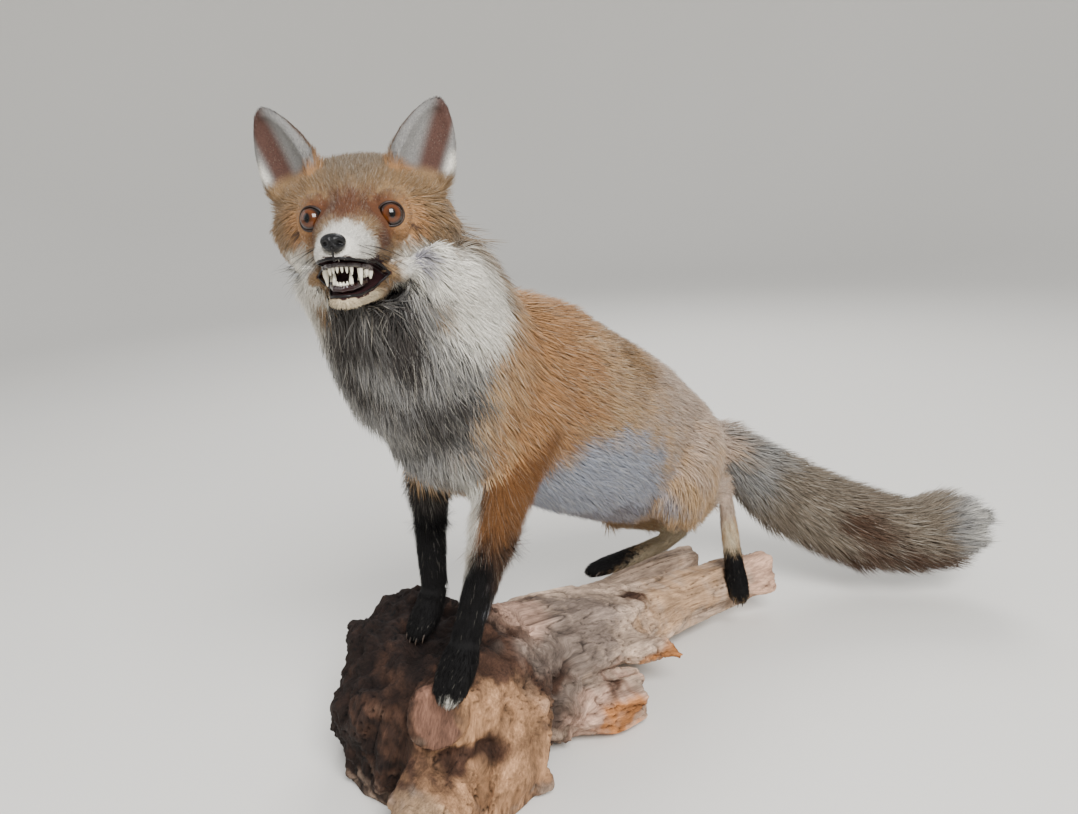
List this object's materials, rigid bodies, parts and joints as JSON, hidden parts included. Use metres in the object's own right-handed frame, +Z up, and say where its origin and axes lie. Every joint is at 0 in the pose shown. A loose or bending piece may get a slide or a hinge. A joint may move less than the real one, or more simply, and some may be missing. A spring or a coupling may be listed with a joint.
{
  "type": "taxidermy fox",
  "caption": "Snarling red fox mounted in a raised stalking pose on a driftwood root, tail swung to its left.",
  "frame": {"origin": "centre of the bounding box at the bottom, on the surface that the driftwood stands on", "axes": "the fox faces -Y, its own left side is +X, +Z up"},
  "size_m": [0.4798, 0.8518, 0.6362],
  "materials": {
    "fur": "russet, grey and white fox coat",
    "fur_dark": "black-brown short fur of the stockings and ear backs",
    "nose": "painted moist nose pad",
    "eye": "amber glass taxidermy eye",
    "tooth": "enamel with pale gums",
    "driftwood": "weathered root wood, bare and cracked, waxed on the cuts"
  },
  "bodies": {
    "root": {"base_driftwood": "driftwood", "eye_left": "eye", "eye_right": "eye", "nose": "nose", "teeth_upper": "tooth", "teeth_lower": "tooth", "jaw": "fur", "head": "fur", "ear_left": "fur", "ear_right": "fur", "trunk": "fur", "neck": "fur", "tail": "fur", "thigh_left": "fur", "thigh_right": "fur", "shank_left": "fur", "shank_right": "fur", "foot_left": "fur_dark", "foot_right": "fur_dark", "foreleg_left": "fur_dark", "foreleg_right": "fur_dark", "forepaw_left": "fur_dark", "forepaw_right": "fur_dark"}
  },
  "joints": []
}
